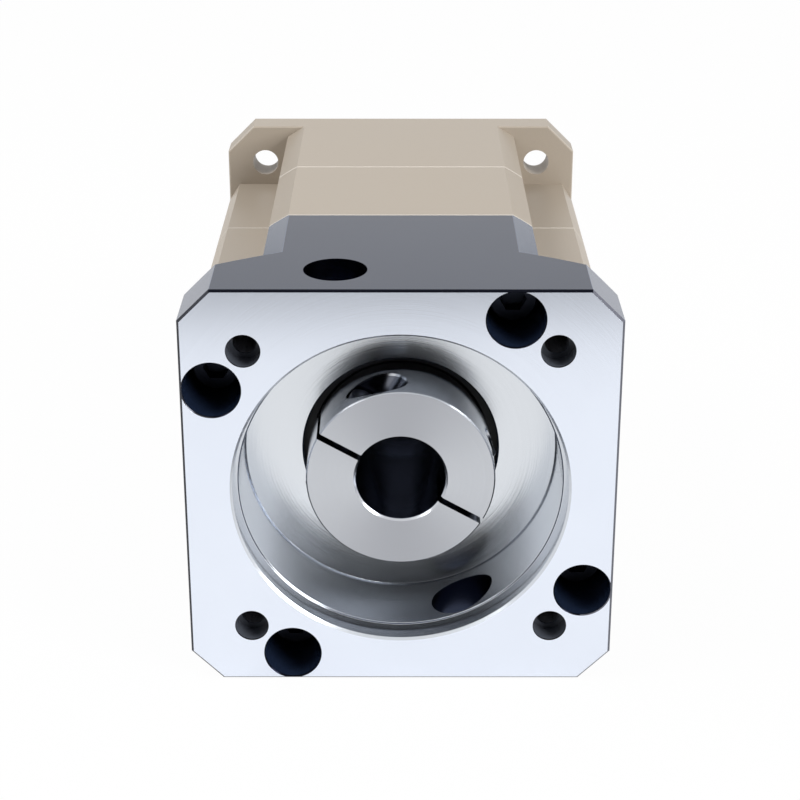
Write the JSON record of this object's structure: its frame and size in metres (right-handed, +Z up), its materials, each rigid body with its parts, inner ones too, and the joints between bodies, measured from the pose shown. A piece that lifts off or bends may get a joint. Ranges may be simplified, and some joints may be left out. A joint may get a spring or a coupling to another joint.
{
  "type": "helical planetary gearbox",
  "caption": "In-line planetary gearbox with helical gears: square motor flange and split clamp hub at one end, eared flange and plain output shaft at the other.",
  "frame": {"origin": "centre of the output mounting face, on the gearbox axis", "axes": "+Y along the axis out of the output shaft, +Z up, +X to the right seen from the motor"},
  "size_m": [0.09, 0.175, 0.09],
  "materials": {
    "adapter_black": "satin black anodised, with a bare turned motor face and bore",
    "housing_paint": "satin champagne paint",
    "hub_steel": "ground",
    "shaft_steel": "ground",
    "gear_steel": "ground, oiled",
    "pin_steel": "hardened, ground",
    "bearing_steel": "polished",
    "cage_plastic": "moulded",
    "seal_rubber": "matt black",
    "spring_steel": "phosphated",
    "screw_black": "black oxide",
    "washer_bronze": "plain"
  },
  "bodies": {
    "housing": {"motor_adapter": "adapter_black", "ring_gear_housing": "housing_paint", "output_housing": "housing_paint", "through_bolts": "screw_black", "adapter_o_ring": "seal_rubber", "housing_o_ring": "seal_rubber", "input_seal": "seal_rubber", "output_seal": "seal_rubber", "adapter_circlip": "spring_steel", "output_circlip": "spring_steel", "input_bearing_outer_race": "bearing_steel", "output_rear_bearing_outer_race": "bearing_steel", "output_front_bearing_outer_race": "bearing_steel"},
    "output_carrier": {"planet_carrier": "shaft_steel", "planet_pin_1": "pin_steel", "planet_pin_2": "pin_steel", "planet_pin_3": "pin_steel", "thrust_washers": "washer_bronze", "output_rear_bearing_inner_race": "bearing_steel", "output_front_bearing_inner_race": "bearing_steel", "shaft_circlip": "spring_steel"},
    "input_shaft": {"input_hub": "hub_steel", "sun_gear": "gear_steel", "clamp_screws": "screw_black", "input_bearing_inner_race": "bearing_steel", "hub_circlip": "spring_steel"},
    "planet_1": {"planet_gear_1": "gear_steel"},
    "planet_2": {"planet_gear_2": "gear_steel"},
    "planet_3": {"planet_gear_3": "gear_steel"},
    "needles_1": {"planet_needles_1": "pin_steel"},
    "needles_2": {"planet_needles_2": "pin_steel"},
    "needles_3": {"planet_needles_3": "pin_steel"},
    "input_ball_set": {"input_bearing_balls": "bearing_steel", "input_bearing_cage": "cage_plastic"},
    "output_rear_ball_set": {"output_rear_bearing_balls": "bearing_steel", "output_rear_bearing_cage": "cage_plastic"},
    "output_front_ball_set": {"output_front_bearing_balls": "bearing_steel", "output_front_bearing_cage": "cage_plastic"}
  },
  "joints": [
    {"name": "carrier_spin", "type": "hinge", "parent": "housing", "child": "output_carrier", "pos_m": [0, 0, 0], "axis": [0, 1, 0], "continuous": true},
    {"name": "input_spin", "type": "hinge", "parent": "housing", "child": "input_shaft", "pos_m": [0, -0.115, 0], "axis": [0, 1, 0], "continuous": true},
    {"name": "planet_1_spin", "type": "hinge", "parent": "output_carrier", "child": "planet_1", "pos_m": [0, -0.0608, 0.0225], "axis": [0, 1, 0], "continuous": true},
    {"name": "planet_2_spin", "type": "hinge", "parent": "output_carrier", "child": "planet_2", "pos_m": [-0.01949, -0.0608, -0.01125], "axis": [0, 1, 0], "continuous": true},
    {"name": "planet_3_spin", "type": "hinge", "parent": "output_carrier", "child": "planet_3", "pos_m": [0.01949, -0.0608, -0.01125], "axis": [0, 1, 0], "continuous": true},
    {"name": "needles_1_roll", "type": "hinge", "parent": "output_carrier", "child": "needles_1", "pos_m": [0, -0.0608, 0.0225], "axis": [0, 1, 0], "continuous": true},
    {"name": "needles_2_roll", "type": "hinge", "parent": "output_carrier", "child": "needles_2", "pos_m": [-0.01949, -0.0608, -0.01125], "axis": [0, 1, 0], "continuous": true},
    {"name": "needles_3_roll", "type": "hinge", "parent": "output_carrier", "child": "needles_3", "pos_m": [0.01949, -0.0608, -0.01125], "axis": [0, 1, 0], "continuous": true},
    {"name": "input_balls_roll", "type": "hinge", "parent": "housing", "child": "input_ball_set", "pos_m": [0, -0.0895, 0], "axis": [0, 1, 0], "continuous": true},
    {"name": "output_rear_balls_roll", "type": "hinge", "parent": "housing", "child": "output_rear_ball_set", "pos_m": [0, -0.0345, 0], "axis": [0, 1, 0], "continuous": true},
    {"name": "output_front_balls_roll", "type": "hinge", "parent": "housing", "child": "output_front_ball_set", "pos_m": [0, -0.0135, 0], "axis": [0, 1, 0], "continuous": true}
  ],
  "couplings": [
    {"joint": "input_spin", "follows": "carrier_spin", "ratio": 5},
    {"joint": "planet_1_spin", "follows": "carrier_spin", "ratio": -2.6667},
    {"joint": "planet_2_spin", "follows": "carrier_spin", "ratio": -2.6667},
    {"joint": "planet_3_spin", "follows": "carrier_spin", "ratio": -2.6667},
    {"joint": "needles_1_roll", "follows": "carrier_spin", "ratio": -1.634},
    {"joint": "needles_2_roll", "follows": "carrier_spin", "ratio": -1.634},
    {"joint": "needles_3_roll", "follows": "carrier_spin", "ratio": -1.634},
    {"joint": "input_balls_roll", "follows": "carrier_spin", "ratio": 2.1667},
    {"joint": "output_rear_balls_roll", "follows": "carrier_spin", "ratio": 0.43894},
    {"joint": "output_front_balls_roll", "follows": "carrier_spin", "ratio": 0.42222}
  ]
}
